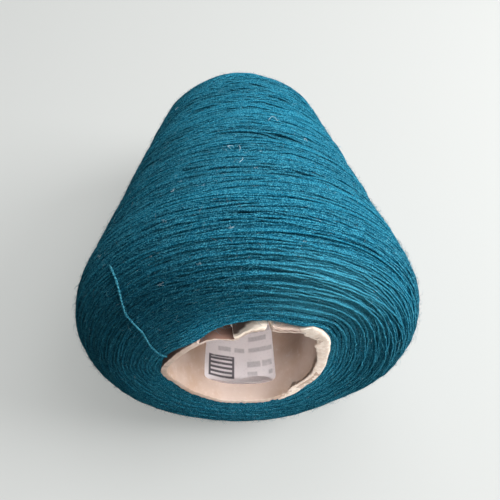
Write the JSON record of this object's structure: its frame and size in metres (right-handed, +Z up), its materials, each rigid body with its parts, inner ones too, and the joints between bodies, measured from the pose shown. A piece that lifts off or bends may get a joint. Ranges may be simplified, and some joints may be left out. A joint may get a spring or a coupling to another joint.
{
  "type": "cone of knitting yarn",
  "caption": "Cone of cross-wound knitting yarn lying on its side: tapered paper cone with a knocked mouth and bare inner label, thick yarn package and one loose yarn end.",
  "frame": {"origin": "on the floor under the middle of the cone's bounding box, the loose end left out", "axes": "+Z up from the floor, -Y out of the cone's mouth, +Y towards its nose, +X to the right seen looking into the mouth; the cone's axis lies in the YZ plane and rises 12.16 degrees towards the mouth"},
  "size_m": [0.145, 0.1784, 0.1417],
  "materials": {
    "cone_board": "matt convolute-wound board, torn and knocked at the mouth",
    "cone_liner": "matt inner ply of the cone",
    "torn_ply": "torn, fibrous ply",
    "label": "plain pale label paper",
    "yarn_package": "fine matt heather yarn, cross-wound",
    "yarn_tail": "single strand of the same yarn"
  },
  "bodies": {
    "root": {"cone_board": "cone_board", "cone_liner": "cone_liner", "torn_ply": "torn_ply", "label": "label", "yarn_package": "yarn_package", "yarn_tail": "yarn_tail"}
  },
  "joints": []
}
